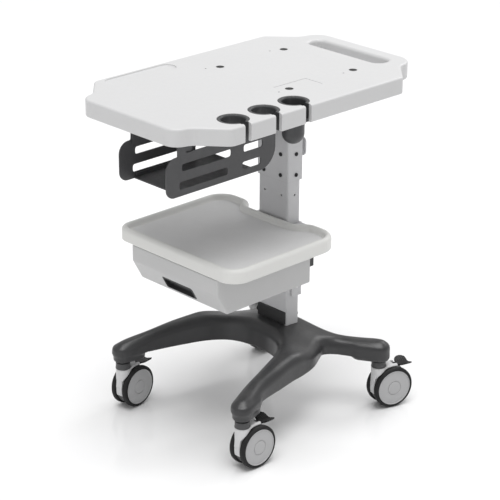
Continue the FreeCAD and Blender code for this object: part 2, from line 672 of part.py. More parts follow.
def drawer_body():
    """Open box with a flange along each side that runs in the channels."""
    inner_half = DRAWER_HALF_WIDTH - DRAWER_WALL
    gap = FRONT_SKIN + 0.1
    outer = drawer_prism(0, DRAWER_HALF_WIDTH).common(box(-200, 200, DRAWER_SLOPE_Y + 6.1, 100, 300, 500))
    outer = outer.fuse(drawer_prism(gap, DRAWER_HALF_WIDTH)).removeSplitter()
    body = outer.cut(drawer_prism(gap + DRAWER_WALL, inner_half, 8))
    body = body.cut(handle_block(HANDLE_HALF_WIDTH - 1.8, 17.7, -5, 17.2, 6))
    pocket = handle_block(HANDLE_HALF_WIDTH + 1, 20.5, 3.8, 20, 8).common(drawer_prism(gap, inner_half))
    body = body.fuse(pocket).cut(handle_block(HANDLE_HALF_WIDTH - 1.8, 17.7, -5, 17.2, 6))
    for s in (-1, 1):
        x0, x1 = sorted((s * (DRAWER_HALF_WIDTH - 1), s * (DRAWER_HALF_WIDTH + 8)))
        body = body.fuse(box(x0, x1, -215, DRAWER_REAR_Y, DRAWER_TOP_Z - 4, DRAWER_TOP_Z - 1))
    return body.removeSplitter()


def drawer_handle():
    """Recessed finger cup with a thin raised frame."""
    cup = handle_block(HANDLE_HALF_WIDTH - 2.1, 17.4, 0, 17, 6)
    frame = handle_block(HANDLE_HALF_WIDTH, 19.5, -1.2, 0, 7)
    hollow = handle_block(HANDLE_HALF_WIDTH - 5, 14.5, -5, 14.6, 4)
    return union([cup, frame]).cut(hollow)


def drawer_runners():
    """Two C-channels under the tray that carry the drawer's flanges."""
    channels = []
    x0, x1 = DRAWER_HALF_WIDTH + 0.6, DRAWER_HALF_WIDTH + 12
    for s in (-1, 1):
        def rail(a, b, z0, z1):
            lo, hi = sorted((s * a, s * b))
            return box(lo, hi, -212, 42, z0, z1)
        channels.append(union([
            rail(x0, x1, DRAWER_TOP_Z - 6.6, DRAWER_TOP_Z - 4.6),
            rail(x1 - 3, x1, DRAWER_TOP_Z - 6.6, TRAY_FLOOR_Z - 5),
            rail(x0, x1, DRAWER_TOP_Z - 0.4, DRAWER_TOP_Z + 1.6),
        ]))
    return Part.Compound(channels)


def drawer_bumpers():
    return Part.Compound([box(x - 8, x + 8, DRAWER_REAR_Y, DRAWER_REAR_Y + 11, 386.5, 411.5) for x in (-131, 131)])


# ---- casters ---------------------------------------------------------------------------
def wheel_disc(r, x0, x1):
    return cylinder(r, V(x0, TRAIL, WHEEL_R), V(1, 0, 0), x1 - x0)


def caster_housing():
    """Web between the wheels with a round head at the swivel and a hood over the wheels."""
    web = wheel_disc(47.5, -HOUSING_HALF_WIDTH, HOUSING_HALF_WIDTH)
    web = web.common(box(-20, 20, -40, 100, 36, 120))
    head = cylinder(HEAD_R, V(0, 0, 62), UP, HEAD_TOP_Z - 62)
    head = softened(head, 1.5, level(HEAD_TOP_Z))
    hood = softened(slab([(-15, -4, 4), (15, -4, 4), (13, 46, 9), (-13, 46, 9)], 90, 106), 4, level(106))
    hood = hood.cut(cylinder(COLLAR_R + 0.6, V(0, 0, HEAD_TOP_Z), UP, 10))
    body = union([web, head, hood])
    for side in (-1, 1):
        lo, hi = sorted((side * (WHEEL_INNER_X - 0.4), side * 40))
        body = body.cut(wheel_disc(WHEEL_R + 1.2, lo, hi))
    body = body.cut(wheel_disc(AXLE_R + 0.02, -20, 20))
    body = body.cut(box(-8.0, 8.0, PEDAL_PIVOT_Y - 6, 100, 90.5, 120))
    body = body.cut(cylinder(PEDAL_PIN_R + 0.05, V(-11, PEDAL_PIVOT_Y, PEDAL_PIVOT_Z), V(1, 0, 0), 22))
    return body.cut(cylinder(STEM_R + 0.05, V(0, 0, STEM_BOTTOM_Z - 0.5), UP, 20))


def caster_guard():
    """Black lower part of the web."""
    web = wheel_disc(45.5, -HOUSING_HALF_WIDTH, HOUSING_HALF_WIDTH)
    return web.common(box(-20, 20, -40, 100, 8, 35.9)).cut(wheel_disc(AXLE_R + 1, -20, 20))


def caster_axle():
    return wheel_disc(AXLE_R, -20.5, 20.5)


def caster_tyre():
    tyre = wheel_disc(WHEEL_R, WHEEL_INNER_X, WHEEL_OUTER_X - 0.6)
    tyre = softened(tyre, 3.5, lambda b: b.XLength < 0.01)
    return tyre.cut(wheel_disc(RIM_R, 0, 40))


def caster_hub():
    """Plastic wheel centre with a shallow domed cover and a raised middle disc."""
    hub = wheel_disc(RIM_R, WHEEL_INNER_X, WHEEL_OUTER_X)
    hub = softened(hub, 1.5, lambda b: b.XLength < 0.01 and b.XMin > WHEEL_OUTER_X - 0.1)
    hub = hub.cut(wheel_disc(AXLE_R + 0.05, 0, 21.5))
    groove = wheel_disc(15.4, WHEEL_OUTER_X - 0.6, WHEEL_OUTER_X + 1).cut(wheel_disc(14.4, 0, 40))
    return hub.cut(groove)


def caster_pedal():
    """Two-lobed foot paddle on a short arm that pivots in the housing."""
    saddle = [(0, 0), (9, 1.2), (16, 4), (22, 8)]
    top = [V(-h, 0, 100 + r) for h, r in reversed(saddle)] + [V(h, 0, 100 + r) for h, r in saddle[1:]]
    upper = Part.BSplineCurve()
    upper.interpolate(top)
    lower = Part.BSplineCurve()
    lower.interpolate([p - V(0, 0, 3.5) for p in top])
    ends = [Part.LineSegment(top[0], top[0] - V(0, 0, 3.5)).toShape(),
            Part.LineSegment(top[-1], top[-1] - V(0, 0, 3.5)).toShape()]
    wire = Part.Wire(Part.__sortEdges__([upper.toShape(), lower.toShape()] + ends))
    sheet = Part.Face(wire).extrude(V(0, 60, 0))
    sheet.translate(V(0, 40, 0))
    plan = slab([(-20, 56, 5), (-8, 50, 6), (8, 50, 6), (20, 56, 5), (23, 72, 7), (12, 83, 8),
                 (-12, 83, 8), (-23, 72, 7)], 90, 120)
    paddle = sheet.common(plan)
    arm = box(-7.2, 7.2, PEDAL_PIVOT_Y - 3, 56, 96.2, 99.6)
    boss = cylinder(3.4, V(-7.2, PEDAL_PIVOT_Y, PEDAL_PIVOT_Z), V(1, 0, 0), 14.4)
    pin = cylinder(PEDAL_PIN_R, V(-8.6, PEDAL_PIVOT_Y, PEDAL_PIVOT_Z), V(1, 0, 0), 17.2)
    return union([paddle, arm, boss, pin])


def caster_pieces():
    tyre, hub = caster_tyre(), caster_hub()
    return {
        "housing": caster_housing(),
        "guard": caster_guard(),
        "axle": caster_axle(),
        "pedal": caster_pedal(),
        "tyre_right": tyre,
        "hub_right": hub,
        "tyre_left": mirror_x(tyre),
        "hub_left": mirror_x(hub),
    }


# ---- assembly --------------------------------------------------------------------------
def all_parts():
    plate = basket_plate()
    parts = {
        "tabletop": tabletop(),
        "top_plate": top_plate(),
        "table_screws": table_screws(),
        "cup_liners": cup_liners(),
        "cup_holder_deep": cup_holder_deep(),
        "basket_plate_right": plate,
        "basket_plate_left": mirror_x(plate),
        "basket_floor": basket_floor(),
        "basket_hangers": basket_hangers(),
        "column_sleeve": column_sleeve(),
        "column_tube": column_tube(),
        "column_screws": column_screws(),
        "cable_hook": cable_hook(),
        "base_casting": base_casting(),
        "foot_cover": foot_cover(),
        "foot_bolts": foot_bolts(),
        "tray": tray(),
        "tray_mat": tray_mat(),
        "tray_bracket": tray_bracket(),
        "tray_screws": tray_screws(),
        "drawer_front": drawer_front(),
        "drawer_body": drawer_body(),
        "drawer_handle": drawer_handle(),
        "drawer_runners": drawer_runners(),
        "drawer_bumpers": drawer_bumpers(),
        "caster_stems": caster_stems(),
        "caster_collars": caster_collars(),
    }
    pieces = caster_pieces()
    for corner, (x, y, yaw) in CASTERS.items():
        for name, shape in pieces.items():
            placed = shape.copy()
            placed.rotate(V(0, 0, 0), UP, yaw)
            placed.translate(V(x, y, 0))
            parts[f"caster_{corner}_{name}"] = placed
    return parts


def main():
    os.makedirs("parts", exist_ok=True)
    for name, shape in all_parts().items():
        if not shape.isValid():
            print("not valid:", name)
        shape.exportStep(f"parts/{name}.step")
        print(name, len(shape.Solids), "solids", round(shape.Volume / 1000, 1), "cm3")


main()
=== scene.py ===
import json
import math

import bpy
import numpy as np
from mathutils import Matrix, Vector


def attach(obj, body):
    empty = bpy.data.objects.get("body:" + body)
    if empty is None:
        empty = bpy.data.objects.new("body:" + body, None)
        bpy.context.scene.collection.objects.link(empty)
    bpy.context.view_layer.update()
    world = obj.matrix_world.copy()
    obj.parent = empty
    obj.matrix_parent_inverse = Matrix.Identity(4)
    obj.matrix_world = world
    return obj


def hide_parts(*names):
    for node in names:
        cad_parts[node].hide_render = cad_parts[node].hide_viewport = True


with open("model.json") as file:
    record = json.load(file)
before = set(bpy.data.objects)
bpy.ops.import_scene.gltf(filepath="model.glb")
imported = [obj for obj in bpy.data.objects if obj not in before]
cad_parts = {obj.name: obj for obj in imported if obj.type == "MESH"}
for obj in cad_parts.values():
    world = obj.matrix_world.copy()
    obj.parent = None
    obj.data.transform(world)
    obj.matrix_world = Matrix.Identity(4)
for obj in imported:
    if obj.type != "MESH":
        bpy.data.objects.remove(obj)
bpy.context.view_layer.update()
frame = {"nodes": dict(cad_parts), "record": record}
nodes = frame["nodes"]
record = frame["record"]


# ---------------------------------------------------------------- materials
DUST_COLOR = (0.62, 0.60, 0.57, 1.0)
SCRATCH_AMOUNT = 0.25
# how a painted shadow line fades out on either side of its height
SHADOW_LINE_FADE = (0.0013, 0.0003)


class Nodes:
    """A material whose shader nodes are added and linked by short calls."""

    def __init__(self, name):
        self.mat = bpy.data.materials.new(name)
        self.mat.use_nodes = True
        self.tree = self.mat.node_tree
        self.tree.nodes.clear()

    def add(self, kind, **values):
        node = self.tree.nodes.new(kind)
        for key, value in values.items():
            setattr(node, key, value)
        return node

    def put(self, socket, value):
        if isinstance(value, bpy.types.NodeSocket):
            self.tree.links.new(value, socket)
        else:
            socket.default_value = value

    def noise(self, vector, scale, detail=3.0, rough=0.55):
        node = self.add("ShaderNodeTexNoise")
        self.put(node.inputs["Vector"], vector)
        node.inputs["Scale"].default_value = scale
        node.inputs["Detail"].default_value = detail
        node.inputs["Roughness"].default_value = rough
        return node.outputs["Fac"]

    def spread(self, value, low, high, out_low=0.0, out_high=1.0):
        node = self.add("ShaderNodeMapRange")
        node.clamp = True
        for name, entry in (("Value", value), ("From Min", low), ("From Max", high),
                            ("To Min", out_low), ("To Max", out_high)):
            self.put(node.inputs[name], entry)
        return node.outputs["Result"]

    def math(self, operation, a, b=0.0):
        node = self.add("ShaderNodeMath", operation=operation)
        self.put(node.inputs[0], a)
        self.put(node.inputs[1], b)
        return node.outputs[0]

    def product(self, first, *others):
        for other in others:
            first = self.math("MULTIPLY", first, other)
        return first

    def mix(self, factor, a, b):
        node = self.add("ShaderNodeMix", data_type="RGBA", blend_type="MIX")
        self.put(node.inputs["Factor"], factor)
        self.put(node.inputs["A"], a)
        self.put(node.inputs["B"], b)
        return node.outputs["Result"]

    def height_of(self, vector):
        """The Z part of a vector."""
        node = self.add("ShaderNodeSeparateXYZ")
        self.put(node.inputs[0], vector)
        return node.outputs["Z"]

    def surface(self, color, rough):
        """The shader of the surface, linked to the output."""
        shader = self.add("ShaderNodeBsdfPrincipled")
        self.put(shader.inputs["Base Color"], color)
        self.put(shader.inputs["Roughness"], rough)
        out = self.add("ShaderNodeOutputMaterial")
        self.put(out.inputs["Surface"], shader.outputs["BSDF"])
        return shader


def scaled(color, share, lift=0.0):
    """A colour made darker or lighter by a share, with its opacity."""
    return tuple(min(1.0, c * share + lift) for c in color) + (1.0,)


def edge_mask(n, place, normal, radius):
    """Broken mask of rubbed edges: the rounded normal leaves the true one near an edge."""
    bevel = n.add("ShaderNodeBevel", samples=4)
    bevel.inputs["Radius"].default_value = radius
    dot = n.add("ShaderNodeVectorMath", operation="DOT_PRODUCT")
    n.put(dot.inputs[0], bevel.outputs["Normal"])
    n.put(dot.inputs[1], normal)
    near_edge = n.spread(dot.outputs["Value"], 0.995, 0.90)
    broken = n.spread(n.noise(place, 160.0, 5.0, 0.7), 0.40, 0.62)
    return n.product(near_edge, broken)


def hairlines(n, place):
    """Hairline scratches: long thin cells of stretched noise."""
    stretch = n.add("ShaderNodeMapping")
    n.put(stretch.inputs["Vector"], place)
    stretch.inputs["Rotation"].default_value = (0.3, 0.5, 0.7)
    stretch.inputs["Scale"].default_value = (900.0, 26.0, 26.0)
    return n.spread(n.noise(stretch.outputs["Vector"], 1.0, 2.0), 0.70, 0.74)


def finish_material(name, color, rough, grain=900.0, grain_depth=0.00006, mottle=0.05, dust=0.04,
                    wear=0.10, wear_color=None, edge=0.0012, rough_spread=0.07, metallic=0.0,
                    specks=0.0, gloss=0.5, painted_shadow_line=None):
    """Plastic or paint: grain, colour drift, dust on top faces, worn edges, hairline scratches and, where
    asked, a painted shadow line.
    """
    n = Nodes(name)
    place = n.add("ShaderNodeTexCoord").outputs["Object"]
    normal = n.add("ShaderNodeNewGeometry").outputs["Normal"]
    drift = n.spread(n.noise(place, 7.0, 4.0), 0.3, 0.7)
    fine = n.spread(n.noise(place, 90.0, 5.0, 0.6), 0.3, 0.7)
    patchy = n.spread(n.noise(place, 24.0, 6.0, 0.65), 0.42, 0.70)
    dusty = n.product(n.spread(n.height_of(normal), 0.55, 1.0), patchy, dust)
    hair = n.product(hairlines(n, place), patchy, SCRATCH_AMOUNT)

    # colour: slow drift and finer mottling, then specks, dust, worn edges and a painted shadow line under
    # a step
    shade = n.mix(drift, scaled(color, 1.0 - mottle), scaled(color, 1.0 + mottle))
    shade = n.mix(n.product(fine, 0.5), shade, (*color, 1.0))
    if specks:
        dots = n.spread(n.noise(place, 1400.0, 2.0), 0.62, 0.70)
        shade = n.mix(n.product(dots, specks), shade, scaled(color, 0.55))
    shade = n.mix(dusty, shade, DUST_COLOR)
    worn_shade = (*wear_color, 1.0) if wear_color else scaled(color, 1.5, 0.06)
    shade = n.mix(n.product(edge_mask(n, place, normal, edge), wear), shade, worn_shade)
    # painted shadow: a darker band at one height, where the step above would shade the face below
    if painted_shadow_line:
        away = n.math("ABSOLUTE", n.math("SUBTRACT", n.height_of(place), painted_shadow_line))
        shade = n.mix(n.product(n.spread(away, *SHADOW_LINE_FADE), 0.6), shade, scaled(color, 0.35))

    # roughness follows the mottling, dust and scratches
    roughness = n.spread(fine, 0.0, 1.0, rough - rough_spread, rough + rough_spread)
    roughness = n.math("ADD", roughness, n.product(dusty, 0.8))
    roughness = n.math("ADD", roughness, n.product(hair, 0.25))

    # relief: moulded or sprayed grain with a slow ripple below it, cut by the scratches
    ripple = n.noise(place, grain / 14.0, 2.0, 0.5)
    height = n.math("ADD", n.noise(place, grain, 2.0, 0.5), n.product(ripple, 0.8))
    height = n.math("SUBTRACT", height, n.product(hair, 0.5))
    bump = n.add("ShaderNodeBump")
    bump.inputs["Strength"].default_value = 0.8
    bump.inputs["Distance"].default_value = grain_depth
    n.put(bump.inputs["Height"], height)

    shader = n.surface(shade, roughness)
    n.put(shader.inputs["Normal"], bump.outputs["Normal"])
    shader.inputs["Metallic"].default_value = metallic
    shader.inputs["Specular IOR Level"].default_value = gloss
    return n.mat


FINISHES = {
    "table_plastic": dict(color=(0.575, 0.575, 0.578), rough=0.40, mottle=0.012, dust=0.03, wear=0.15),
    "cup_plastic": dict(color=(0.045, 0.046, 0.048), rough=0.42, mottle=0.08, wear=0.8,
                        wear_color=(0.16, 0.16, 0.165), edge=0.0016),
    "basket_paint": dict(color=(0.062, 0.062, 0.065), rough=0.46, grain=1300.0, grain_depth=0.00012,
                         mottle=0.06, dust=0.06, wear=0.35, specks=0.1),
    # the column's painted shadow line lies just under the step at the foot of its sleeve
    "column_paint": dict(color=(0.56, 0.56, 0.57), rough=0.42, grain=1500.0, grain_depth=0.00012,
                         mottle=0.03, specks=0.12, wear=0.25, painted_shadow_line=0.5563),
    "black_steel": dict(color=(0.010, 0.010, 0.011), rough=0.50, wear_color=(0.1, 0.1, 0.1), gloss=0.25),
    "zinc_steel": dict(color=(0.62, 0.62, 0.60), rough=0.28, metallic=1.0, mottle=0.08, grain=2500.0,
                       grain_depth=0.00002),
    "pale_plastic": dict(color=(0.55, 0.55, 0.56), rough=0.45, mottle=0.03),
    "base_paint": dict(color=(0.029, 0.029, 0.0305), rough=0.34, grain=1100.0, grain_depth=0.00010,
                       mottle=0.06, wear=0.25, specks=0.02, rough_spread=0.04),
    "black_plastic": dict(color=(0.024, 0.024, 0.025), rough=0.42, mottle=0.1, dust=0.08),
    "tray_plastic": dict(color=(0.67, 0.67, 0.652), rough=0.42, mottle=0.015, dust=0.03),
    "tray_mat": dict(color=(0.66, 0.66, 0.66), rough=0.62, grain=700.0, grain_depth=0.0002, dust=0.08),
    "drawer_plastic": dict(color=(0.50, 0.50, 0.50), rough=0.44, mottle=0.02, dust=0.03),
    "handle_plastic": dict(color=(0.03, 0.03, 0.032), rough=0.4, mottle=0.08),
    "runner_steel": dict(color=(0.08, 0.08, 0.08), rough=0.4, mottle=0.08, wear=0.4),
    "caster_plastic": dict(color=(0.60, 0.60, 0.605), rough=0.40, mottle=0.025, dust=0.05),
    "collar_plastic": dict(color=(0.055, 0.055, 0.057), rough=0.4, mottle=0.08),
    "pedal_plastic": dict(color=(0.007, 0.007, 0.0075), rough=0.42, mottle=0.1, dust=0.03, gloss=0.3),
    "hub_plastic": dict(color=(0.42, 0.42, 0.425), rough=0.42, mottle=0.03),
    "tyre": dict(color=(0.009, 0.009, 0.0095), rough=0.6, gloss=0.3, grain=500.0, grain_depth=0.0003,
                 mottle=0.15, dust=0.05, wear=0.25, wear_color=(0.05, 0.049, 0.048)),
}
MATERIALS = {name: finish_material(name, **finish) for name, finish in FINISHES.items()}

slot_of = {part["node"]: part["material_slot"] for part in record["subparts"]}
for name, node in nodes.items():
    node.data.materials.clear()
    node.data.materials.append(MATERIALS[slot_of[name]])
    node.data.polygons.foreach_set("material_index", [0] * len(node.data.polygons))


# ---------------------------------------------------------------- studio (metres)
FLOOR_HALF = 12.0
FLOOR_GAP = 0.0002
SKY_STRENGTH = 0.60
OVERHEAD_POWER, OVERHEAD_ANGLE, OVERHEAD_FROM = 2.25, math.radians(42), (0.12, -0.12, 1.0)

CAMERA_PLACE = (2.8624, -2.7546, 2.0522)
CAMERA_AZIMUTH, CAMERA_ELEVATION, CAMERA_ROLL = (math.radians(a) for a in (46.15, 22.60, 0.23))
CAMERA_LENS, CAMERA_SENSOR = 136.3968, 36.0


def floor_material():
    n = Nodes("studio_floor")
    place = n.add("ShaderNodeTexCoord").outputs["Object"]
    soft = n.spread(n.noise(place, 3.0, 3.0), 0.3, 0.7)
    color = n.mix(soft, (0.845, 0.845, 0.85, 1.0), (0.865, 0.865, 0.865, 1.0))
    n.surface(color, n.spread(n.noise(place, 40.0, 3.0), 0.3, 0.7, 0.11, 0.15))
    return n.mat


def lamp(light, place, source):
    """Adds a lamp that shines from the side that the source vector points to."""
    made = bpy.data.objects.new(light.name, light)
    made.location = place
    made.rotation_euler = source.to_track_quat("Z", "Y").to_euler()
    bpy.context.scene.collection.objects.link(made)


def panel(name, place, aim, size, power):
    """Adds a rectangular soft light that is aimed at a point."""
    light = bpy.data.lights.new(name, "AREA")
    light.shape = "RECTANGLE"
    light.size, light.size_y = size
    light.energy = power
    lamp(light, place, Vector(place) - Vector(aim))


def studio():
    mesh = bpy.data.meshes.new("studio_floor")
    corners = [(x * FLOOR_HALF, y * FLOOR_HALF, 0) for x, y in ((-1, -1), (1, -1), (1, 1), (-1, 1))]
    mesh.from_pydata(corners, [], [(0, 1, 2, 3)])
    mesh.materials.append(floor_material())
    floor = bpy.data.objects.new("studio_floor", mesh)
    floor.location.z = -FLOOR_GAP
    bpy.context.scene.collection.objects.link(floor)

    world = bpy.data.worlds.new("studio")
    world.use_nodes = True
    background = world.node_tree.nodes["Background"]
    background.inputs["Color"].default_value = (1.0, 1.0, 1.0, 1.0)
    background.inputs["Strength"].default_value = SKY_STRENGTH
    bpy.context.scene.world = world

    overhead = bpy.data.lights.new("overhead", "SUN")
    overhead.energy = OVERHEAD_POWER
    overhead.angle = OVERHEAD_ANGLE
    lamp(overhead, (0, 0, 0), Vector(OVERHEAD_FROM))
    panel("low_fill", (0.6, -2.7, 0.6), (0, 0, 0.35), (2.0, 0.8), 3.5)
    panel("front_panel", (-0.9, -2.9, 2.3), (0, 0, 0.2), (1.4, 1.4), 2.5)
    panel("back_panel", (0.1, 2.5, 2.3), (0, 0, 0.2), (1.5, 1.5), 22.0)
    bpy.context.scene.view_settings.view_transform = "Standard"


def camera():
    ahead = Vector((-math.sin(CAMERA_AZIMUTH) * math.cos(CAMERA_ELEVATION),
                    math.cos(CAMERA_AZIMUTH) * math.cos(CAMERA_ELEVATION), -math.sin(CAMERA_ELEVATION)))
    level = Vector((math.cos(CAMERA_AZIMUTH), math.sin(CAMERA_AZIMUTH), 0))
    upright_axis = level.cross(ahead)
    right = level * math.cos(CAMERA_ROLL) + upright_axis * math.sin(CAMERA_ROLL)
    up = upright_axis * math.cos(CAMERA_ROLL) - level * math.sin(CAMERA_ROLL)
    data = bpy.data.cameras.new("camera")
    data.sensor_width = CAMERA_SENSOR
    data.lens = CAMERA_LENS
    data.clip_end = 60.0
    eye = bpy.data.objects.new("camera", data)
    turn = Matrix((right, up, -ahead)).transposed().to_4x4()
    eye.matrix_world = Matrix.Translation(CAMERA_PLACE) @ turn
    bpy.context.scene.collection.objects.link(eye)
    bpy.context.scene.camera = eye


# ---------------------------------------------------------------- mesh tools (millimetres in, metres out)
def piece(name, verts, faces, slot, body, covers=(), sharp=38):
    """Makes a piece of the object that rides on a body and may stand for CAD nodes.

    It is shaded smoothly, apart from creases of more than `sharp` degrees.
    """
    mesh = bpy.data.meshes.new(name)
    mesh.from_pydata([tuple(v) for v in np.asarray(verts, float) / 1000.0], [], [tuple(f) for f in faces])
    mesh.validate()
    mesh.materials.append(MATERIALS[slot])
    mesh.polygons.foreach_set("use_smooth", [True] * len(mesh.polygons))
    mesh.set_sharp_from_angle(angle=math.radians(sharp))
    made = bpy.data.objects.new(name, mesh)
    bpy.context.scene.collection.objects.link(made)
    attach(made, body)
    if covers:
        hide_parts(*covers)


def joined(parts):
    """One list of vertices and faces from several."""
    verts, faces, count = [], [], 0
    for v, f in parts:
        verts.append(np.asarray(v, float))
        faces += [tuple(i + count for i in face) for face in f]
        count += len(v)
    return np.vstack(verts), faces


def corner_arc(before, here, after, radius, steps, reach_limit=math.inf):
    """Points of the arc that rounds a corner, reaching no further along its sides than the limit."""
    here = np.array(here, float)
    back, on = np.array(before) - here, np.array(after) - here
    back, on = back / np.linalg.norm(back), on / np.linalg.norm(on)
    half = math.acos(max(-1.0, min(1.0, float(back @ on)))) / 2
    reach = radius / math.tan(half)
    if reach > reach_limit:
        reach, radius = reach_limit, reach_limit * math.tan(half)
    centre = here + (back + on) / np.linalg.norm(back + on) * radius / math.sin(half)
    a, b = here + back * reach - centre, here + on * reach - centre
    turn = math.atan2(a[0] * b[1] - a[1] * b[0], float(a @ b))
    out = []
    for k in range(steps + 1):
        c, s = math.cos(turn * k / steps), math.sin(turn * k / steps)
        out.append(tuple(centre + (a[0] * c - a[1] * s, a[0] * s + a[1] * c)))
    return out


def rounded(points, radii, steps):
    """Open profile through points, each inner corner rounded to its radius as far as its sides allow."""
    out = [points[0]]
    for before, here, after, radius in zip(points, points[1:], points[2:], radii[1:]):
        if radius:
            limit = 0.49 * min(math.dist(before, here), math.dist(here, after))
            out += corner_arc(before, here, after, radius, steps, limit)
        else:
            out.append(here)
    return out + [points[-1]]


def rounded_loop(corners, steps=10):
    """Closed outline through (x, y, radius) corners, each rounded."""
    out = []
    for i, (x, y, radius) in enumerate(corners):
        after = corners[(i + 1) % len(corners)]
        out += corner_arc(corners[i - 1][:2], (x, y), after[:2], radius, steps)
    return np.array(out)


def spline_loop(points, per_span):
    """Closed Catmull-Rom curve through the points (centripetal spacing)."""
    p = np.array(points, float)
    n = len(p)
    out = []
    for i in range(n):
        a, b, c, d = p[i - 1], p[i], p[(i + 1) % n], p[(i + 2) % n]
        t = [0.0]
        for q, r in ((a, b), (b, c), (c, d)):
            t.append(t[-1] + math.sqrt(np.linalg.norm(r - q)))
        for s in np.linspace(t[1], t[2], per_span, endpoint=False):
            a1 = (t[1] - s) / (t[1] - t[0]) * a + (s - t[0]) / (t[1] - t[0]) * b
            a2 = (t[2] - s) / (t[2] - t[1]) * b + (s - t[1]) / (t[2] - t[1]) * c
            a3 = (t[3] - s) / (t[3] - t[2]) * c + (s - t[2]) / (t[3] - t[2]) * d
            b1 = (t[2] - s) / (t[2] - t[0]) * a1 + (s - t[0]) / (t[2] - t[0]) * a2
            b2 = (t[3] - s) / (t[3] - t[1]) * a2 + (s - t[1]) / (t[3] - t[1]) * a3
            out.append((t[2] - s) / (t[2] - t[1]) * b1 + (s - t[1]) / (t[2] - t[1]) * b2)
    return np.array(out)


def revolved(profile, count, closed=False):
    """Surface of revolution about the X axis from (x, radius) points."""
    turns = np.linspace(0, 2 * math.pi, count, endpoint=False)
    verts, rows = [], []
    for x, r in profile:
        if r < 1e-6:
            rows.append([len(verts)])
            verts.append((x, 0.0, 0.0))
        else:
            rows.append(list(range(len(verts), len(verts) + count)))
            verts += [(x, r * math.cos(t), r * math.sin(t)) for t in turns]
    pairs = list(zip(rows, rows[1:]))
    if closed:
        pairs.append((rows[-1], rows[0]))
    faces = []
    for a, b in pairs:
        for i in range(count):
            j = (i + 1) % count
            if len(a) == 1:
                faces.append((a[0], b[j], b[i]))
            elif len(b) == 1:
                faces.append((a[i], a[j], b[0]))
            else:
                faces.append((a[i], a[j], b[j], b[i]))
    return np.array(verts), faces


def upright(shape, x, y):
    """Stands a surface of revolution on end at a place, its first axis becoming up."""
    verts, faces = shape
    return np.column_stack([verts[:, 1] + x, verts[:, 2] + y, verts[:, 0]]), faces


# ---------------------------------------------------------------- distance fields (millimetres)
def ramp(value, start, end):
    """Rises from 0 at the start to 1 at the end."""
    return np.clip((value - start) / (end - start), 0, 1)


def smooth_min(a, b, k):
    """Union of two fields, blended over a width k."""
    h = np.clip(0.5 + 0.5 * (b - a) / k, 0.0, 1.0)
    return b + (a - b) * h - k * h * (1.0 - h)


def smooth_max(a, b, k):
    """Intersection of two fields, blended over a width k."""
    return -smooth_min(-a, -b, k)


def rounded_both(a, b, r):
    """Intersection of two fields with the shared edge rounded to radius r."""
    outside = np.hypot(np.maximum(a + r, 0), np.maximum(b + r, 0))
    return np.minimum(np.maximum(a + r, b + r), 0.0) + outside - r


def brick(p, low, high, r):
    """Rounded box."""
    low, high = np.array(low, float), np.array(high, float)
    q = np.abs(p - (low + high) / 2) - (high - low) / 2 + r
    return np.linalg.norm(np.maximum(q, 0), axis=1) + np.minimum(q.max(1), 0) - r


def rod(p, axis, centre, radius, low, high, r=0.0):
    """Cylinder along a main axis with its rims rounded."""
    others = [i for i in range(3) if i != axis]
    across = np.hypot(p[:, others[0]] - centre[0], p[:, others[1]] - centre[1]) - radius
    along = np.abs(p[:, axis] - (low + high) / 2) - (high - low) / 2
    return rounded_both(across, along, r)


class PlanField:
    """Signed distance to a closed plan outline, tabulated on a grid and read back smoothly."""

    def __init__(self, loop, low, high, step=2.0):
        self.low, self.step = np.array(low, float), step
        xs, ys = np.arange(low[0], high[0] + step, step), np.arange(low[1], high[1] + step, step)
        grid = np.stack(np.meshgrid(xs, ys, indexing="ij"), -1).reshape(-1, 2)
        nearest = np.full(len(grid), np.inf)
        inside = np.zeros(len(grid), bool)
        for p, q in zip(loop, np.roll(loop, -1, 0)):
            d = q - p
            t = np.clip(((grid - p) @ d) / (d @ d), 0, 1)
            nearest = np.minimum(nearest, ((grid - p - t[:, None] * d) ** 2).sum(1))
            if p[1] != q[1]:
                spans = (grid[:, 1] < p[1]) != (grid[:, 1] < q[1])
                inside ^= spans & (grid[:, 0] < p[0] + (grid[:, 1] - p[1]) / (q[1] - p[1]) * d[0])
        self.table = (np.sqrt(nearest) * np.where(inside, -1, 1)).reshape(len(xs), len(ys))

    def __call__(self, x, y):
        u = np.clip((x - self.low[0]) / self.step, 0, self.table.shape[0] - 1.001)
        v = np.clip((y - self.low[1]) / self.step, 0, self.table.shape[1] - 1.001)
        i, j = u.astype(int), v.astype(int)
        u, v = u - i, v - j
        t = self.table
        return ((1 - u) * (1 - v) * t[i, j] + u * (1 - v) * t[i + 1, j]
                + (1 - u) * v * t[i, j + 1] + u * v * t[i + 1, j + 1])


def grid_crossings(value, grid, step):
    """Where the surface crosses the grid's edges: the point, the four cells round it and its side."""
    shape = value.shape
    for axis in range(3):
        u, w = (axis + 1) % 3, (axis + 2) % 3
        first, second = [slice(None)] * 3, [slice(None)] * 3
        first[axis], second[axis] = slice(0, -1), slice(1, None)
        a, b = value[tuple(first)], value[tuple(second)]
        where = np.argwhere((a < 0) != (b < 0))
        keep = ((where[:, u] > 0) & (where[:, w] > 0)
                & (where[:, u] < shape[u] - 1) & (where[:, w] < shape[w] - 1))
        where = where[keep]
        va, vb = a[tuple(where.T)], b[tuple(where.T)]
        point = grid[tuple(where.T)].copy()
        point[:, axis] += step * va / (va - vb)
        ring = []
        for du, dw in ((0, 0), (-1, 0), (-1, -1), (0, -1)):
            cell = where.copy()
            cell[:, u] += du
            cell[:, w] += dw
            ring.append(tuple(cell.T))
        yield point, ring, va < 0


